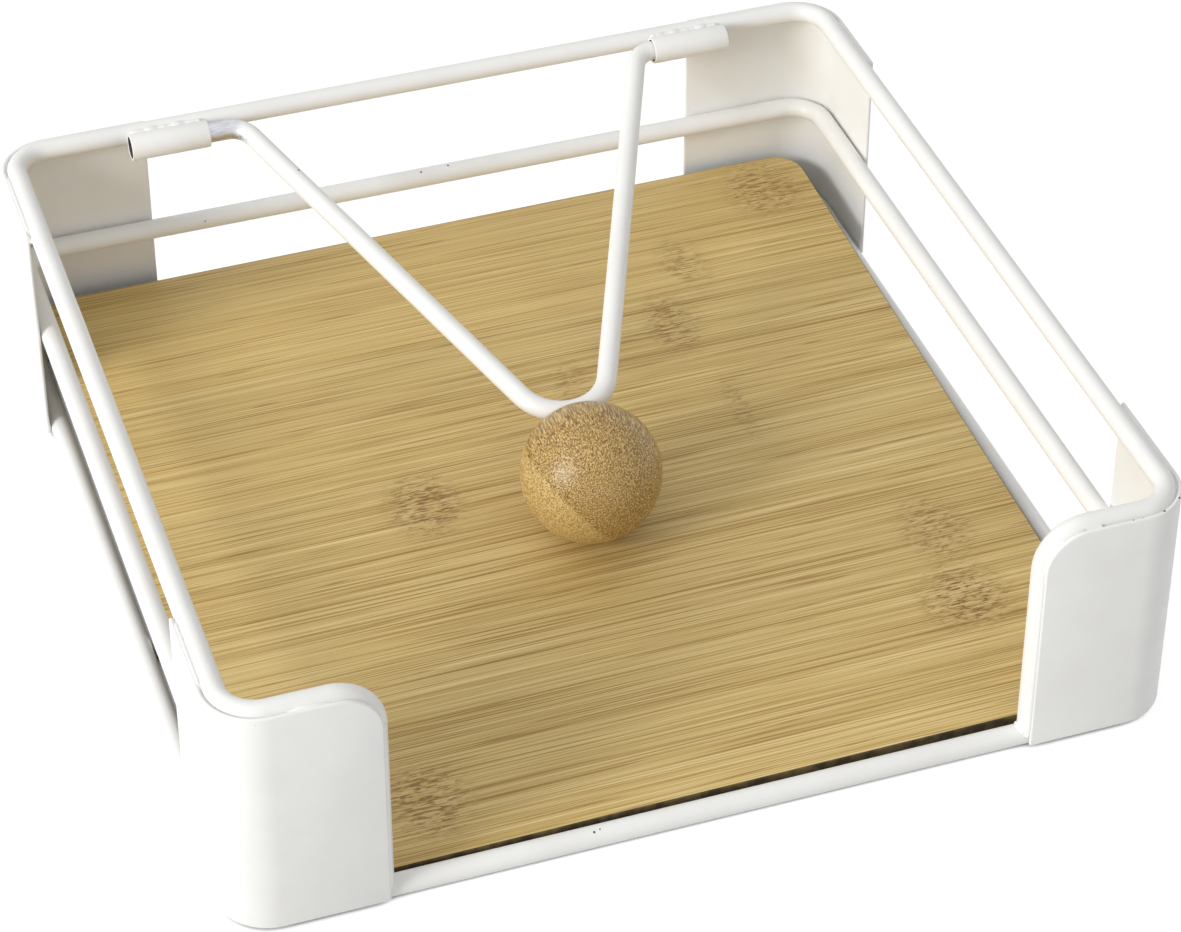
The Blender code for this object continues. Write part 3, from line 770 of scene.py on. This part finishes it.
# The wood's pattern, in millimetres on the board: length and width of each kind of grain
STRIP_WIDTH = 18.8
STRIP_EDGE = 12.8
STRIP_STEP = 7.31
FIBRE_GRAIN = (55, 0.30)
STRAND_GRAIN = (90, 1.5)
BAND_GRAIN = (200, 6.0)
VEIN_GRAIN = (120, 0.8)
DASH_GRAIN = (2.4, 0.42)
STRAND_SHARE = 0.30
BAND_SHARE = 0.25
GRAIN_MEAN = 0.775
CONTRAST_FRONT, CONTRAST_BACK = 2.15, 1.25
CONTRAST_FADE, CONTRAST_LEAN = 95.0, -0.5
VEIN_EDGE, VEIN_CORE, VEIN_DEPTH = 0.024, 0.006, 0.60
JOINT_EDGE, JOINT_CORE, JOINT_DEPTH = 0.490, 0.497, 0.35
STRIP_DARKEST, STRIP_LIGHTEST = 0.93, 1.05
BOARD_TONES = {"dark": "#957128", "body": "#d0b26f", "light": "#e9d296"}
BOARD_BODY_AT = 0.45
VEIN_COLOUR = "#906a2c"
OIL_GLOSS, OIL_MATT = 0.42, 0.62
GRAIN_DEPTH = 0.04 * MILLIMETRE
GRAIN_STRENGTH = 0.25

# Node marks, where the cane had its rings: x, y, reach along the strip, strength
NODES = ((74.3, 78.1, 9.5, 0.8), (48.9, 58.5, 6.0, 0.55), (39.6, 40.8, 6.5, 0.85),
         (13.3, 27.0, 5.0, 0.6), (-26.8, 3.2, 8.5, 1.0), (67.3, -34.2, 8.0, 0.75),
         (65.1, -53.8, 10.0, 1.0), (-49.8, -72.0, 9.0, 0.9), (43.3, 11.6, 2.5, 0.5))
NODE_WAIST = STRIP_WIDTH * 0.55
NODE_EDGE, NODE_CORE = 1.25, 0.35
DASH_EDGE, DASH_CORE = 0.49, 0.40
FLECK_EDGE, FLECK_CORE, FLECK_DEPTH = 0.56, 0.64, 0.7
NODE_TINT = "#b9975a"
NODE_TINT_SHARE = 0.35
DASH_COLOUR = "#86652f"
FLECK_COLOUR = "#dcc692"

# Bamboo under oil: straw yellow with fine drawn-out fibres and thin brown veins, each strip in a
# shade of its own, with short dashes where the fibres cross at a node mark
board_top, tree, shader, where = add_finish("oiled_bamboo_strips")
plan = add_node(tree, "ShaderNodeMapping", {"Vector": where, "Rotation": (0, 0, BOARD_TURN),
                "Scale": (MILLIMETRE,) * 3}, vector_type="TEXTURE")
flat = add_node(tree, "ShaderNodeSeparateXYZ", {"Vector": plan.outputs[0]})
shifted = add_node(tree, "ShaderNodeMath", {0: flat.outputs["Y"], 1: STRIP_EDGE},
                   operation="SUBTRACT")
strips = add_node(tree, "ShaderNodeMath", {0: shifted.outputs[0], 1: STRIP_WIDTH},
                  operation="DIVIDE")
strip = add_node(tree, "ShaderNodeMath", {0: strips.outputs[0]}, operation="FLOOR")
in_strip = add_node(tree, "ShaderNodeMath", {0: strips.outputs[0]}, operation="FRACT")
on_strip = add_node(tree, "ShaderNodeCombineXYZ", {"X": flat.outputs["X"], "Y": flat.outputs["Y"],
                    "Z": strip.outputs[0]})


def along_grain(size, detail, **more):
    """Noise drawn out along the strips, and different in each strip."""
    length, width = size
    scaled = add_node(tree, "ShaderNodeVectorMath", {0: on_strip.outputs[0],
                      1: (1 / length, 1 / width, STRIP_STEP)}, operation="MULTIPLY")
    made = add_node(tree, "ShaderNodeTexNoise", {"Vector": scaled.outputs[0], "Scale": 1.0,
                    "Detail": detail, **more})
    return made.outputs["Fac"]


fibre = along_grain(FIBRE_GRAIN, 2.0, Roughness=0.65)
strand = along_grain(STRAND_GRAIN, 2.0, Roughness=0.6)
band = along_grain(BAND_GRAIN, 2.0)
vein = along_grain(VEIN_GRAIN, 1.0)
threads = add_node(tree, "ShaderNodeMath", {0: strand, 1: STRAND_SHARE, 2: fibre},
                   operation="MULTIPLY_ADD")
blend = add_node(tree, "ShaderNodeMath", {0: band, 1: BAND_SHARE, 2: threads.outputs[0]},
                 operation="MULTIPLY_ADD")
to_back_left = add_node(tree, "ShaderNodeMath", {0: flat.outputs["X"], 1: CONTRAST_LEAN,
                        2: flat.outputs["Y"]}, operation="MULTIPLY_ADD")
contrast = add_node(tree, "ShaderNodeMapRange", {
    "Value": to_back_left.outputs[0], "From Min": 0.0, "From Max": CONTRAST_FADE,
    "To Min": CONTRAST_FRONT, "To Max": CONTRAST_BACK})
off_mean = add_node(tree, "ShaderNodeMath", {0: blend.outputs[0], 1: GRAIN_MEAN},
                    operation="SUBTRACT")
fine = add_node(tree, "ShaderNodeMath", {0: off_mean.outputs[0], 1: contrast.outputs[0], 2: 0.5},
                operation="MULTIPLY_ADD", use_clamp=True)
tones = add_node(tree, "ShaderNodeValToRGB", {"Fac": fine.outputs[0]})
tones.color_ramp.elements[0].color = linear(BOARD_TONES["dark"])
tones.color_ramp.elements[1].color = linear(BOARD_TONES["light"])
tones.color_ramp.elements.new(BOARD_BODY_AT).color = linear(BOARD_TONES["body"])
off_vein = add_node(tree, "ShaderNodeMath", {0: vein, 1: 0.5}, operation="SUBTRACT")
beside_vein = add_node(tree, "ShaderNodeMath", {0: off_vein.outputs[0]}, operation="ABSOLUTE")
vein_place = add_node(tree, "ShaderNodeMapRange", {
    "Value": beside_vein.outputs[0], "From Min": VEIN_EDGE, "From Max": VEIN_CORE,
    "To Max": VEIN_DEPTH})
veined = add_node(tree, "ShaderNodeMix", {"Factor": vein_place.outputs[0],
                  "A": tones.outputs["Color"], "B": linear(VEIN_COLOUR)}, data_type="RGBA")
colour = veined.outputs["Result"]

dashes = along_grain(DASH_GRAIN, 2.0, Roughness=0.6, Distortion=0.5)
dash = add_node(tree, "ShaderNodeMapRange", {"Value": dashes, "From Min": DASH_EDGE,
                "From Max": DASH_CORE})
fleck = add_node(tree, "ShaderNodeMapRange", {"Value": dashes, "From Min": FLECK_EDGE,
                 "From Max": FLECK_CORE, "To Max": FLECK_DEPTH})
for x, y, reach, strength in NODES:
    from_node = add_node(tree, "ShaderNodeVectorMath", {0: plan.outputs[0], 1: (x, y, 0.0)},
                         operation="SUBTRACT")
    eased = add_node(tree, "ShaderNodeVectorMath", {0: from_node.outputs[0],
                     1: (1 / reach, 1 / NODE_WAIST, 0.0)}, operation="MULTIPLY")
    away = add_node(tree, "ShaderNodeVectorMath", {0: eased.outputs[0]}, operation="LENGTH")
    near = add_node(tree, "ShaderNodeMapRange", {
        "Value": away.outputs["Value"], "From Min": NODE_EDGE, "From Max": NODE_CORE,
        "To Max": strength}, interpolation_type="SMOOTHSTEP")
    tint = add_node(tree, "ShaderNodeMath", {0: near.outputs[0], 1: NODE_TINT_SHARE},
                    operation="MULTIPLY")
    tinted = add_node(tree, "ShaderNodeMix", {"Factor": tint.outputs[0], "A": colour,
                      "B": linear(NODE_TINT)}, data_type="RGBA")
    colour = tinted.outputs["Result"]
    for spots, spot_colour in ((dash, DASH_COLOUR), (fleck, FLECK_COLOUR)):
        marks = add_node(tree, "ShaderNodeMath", {0: near.outputs[0], 1: spots.outputs[0]},
                         operation="MULTIPLY")
        marked = add_node(tree, "ShaderNodeMix", {"Factor": marks.outputs[0], "A": colour,
                          "B": linear(spot_colour)}, data_type="RGBA")
        colour = marked.outputs["Result"]

strip_tone = add_node(tree, "ShaderNodeTexWhiteNoise", {"W": strip.outputs[0]},
                      noise_dimensions="1D")
strip_light = add_node(tree, "ShaderNodeMapRange", {
    "Value": strip_tone.outputs["Value"], "To Min": STRIP_DARKEST, "To Max": STRIP_LIGHTEST})
toned = add_node(tree, "ShaderNodeHueSaturation", {"Color": colour,
                 "Value": strip_light.outputs[0]})
to_joint = add_node(tree, "ShaderNodeMath", {0: in_strip.outputs[0], 1: 0.5},
                    operation="SUBTRACT")
from_joint = add_node(tree, "ShaderNodeMath", {0: to_joint.outputs[0]}, operation="ABSOLUTE")
joint = add_node(tree, "ShaderNodeMapRange", {
    "Value": from_joint.outputs[0], "From Min": JOINT_EDGE, "From Max": JOINT_CORE,
    "To Max": JOINT_DEPTH})
glued = add_node(tree, "ShaderNodeMix", {"Factor": joint.outputs[0], "A": toned.outputs["Color"],
                 "B": linear(VEIN_COLOUR)}, data_type="RGBA")
matt = add_node(tree, "ShaderNodeMapRange", {"Value": band, "To Min": OIL_GLOSS,
                "To Max": OIL_MATT})
relief = add_node(tree, "ShaderNodeBump", {"Height": fine.outputs[0],
                  "Strength": GRAIN_STRENGTH, "Distance": GRAIN_DEPTH})
tree.links.new(glued.outputs["Result"], shader.inputs["Base Color"])
tree.links.new(matt.outputs[0], shader.inputs["Roughness"])
tree.links.new(relief.outputs[0], shader.inputs["Normal"])

CHAR_DARK = "#3a3018"
CHAR_LIGHT = "#6a5a35"
CHAR_SIZE = 3 * MILLIMETRE
CHAR_DEPTH = 0.1 * MILLIMETRE
CHAR_STRENGTH = 0.4
CHAR_MATT = 0.75
SCORCH_DARK, SCORCH_LIGHT = 0.4, 0.7

# Bamboo that the laser has burnt: dull, patchy dark brown with a crumbly skin
board_char, tree, shader, where = add_finish("laser_charred_bamboo")
shader.inputs["Roughness"].default_value = CHAR_MATT
scorch = add_node(tree, "ShaderNodeTexNoise", {"Vector": where, "Scale": 1 / CHAR_SIZE,
                  "Detail": 4.0})
scorched = add_node(tree, "ShaderNodeMapRange", {"Value": scorch.outputs["Fac"],
                    "From Min": SCORCH_DARK, "From Max": SCORCH_LIGHT})
char = add_node(tree, "ShaderNodeMix", {"Factor": scorched.outputs[0], "A": linear(CHAR_DARK),
                "B": linear(CHAR_LIGHT)}, data_type="RGBA")
crust = add_node(tree, "ShaderNodeBump", {"Height": scorch.outputs["Fac"],
                 "Strength": CHAR_STRENGTH, "Distance": CHAR_DEPTH})
tree.links.new(char.outputs["Result"], shader.inputs["Base Color"])
tree.links.new(crust.outputs[0], shader.inputs["Normal"])

board_depth = (BOARD_FRONT + BOARD_BACK) / math.cos(BOARD_RISE)
board_middle = (BOARD_BACK - BOARD_FRONT) / 2
board_height = BOARD_FRONT_HEIGHT + (board_middle + BOARD_FRONT) * math.tan(BOARD_RISE)
board = bmesh.new()
bmesh.ops.create_grid(board, x_segments=1, y_segments=1, size=1.0)
bmesh.ops.scale(board, vec=(BOARD_HALF_WIDTH, board_depth / 2, 1), verts=board.verts)
bmesh.ops.bevel(board, geom=board.verts[:], offset=BOARD_CORNER, segments=BOARD_CORNER_STEPS,
                profile=0.5, affect="VERTICES", material=-1)
pulled = bmesh.ops.extrude_face_region(board, geom=board.faces[:])["geom"]
lower = [part for part in pulled if isinstance(part, bmesh.types.BMVert)]
bmesh.ops.translate(board, verts=lower, vec=(0, 0, -BOARD_THICKNESS))
bmesh.ops.recalc_face_normals(board, faces=board.faces)
round_edges(board, BOARD_EDGE)
for face in board.faces:
    face.material_index = 0 if abs(face.normal.z) > FACES_UP else 1
laid = Matrix.Translation((0, board_middle, board_height)) @ Matrix.Rotation(BOARD_RISE, 4, "X")
laid = laid @ Matrix.Rotation(BOARD_TURN, 4, "Z")
bmesh.ops.transform(board, matrix=laid, verts=board.verts)
show("bamboo_board", board, [board_top, board_char], "board_bamboo", "frame", "base_board")
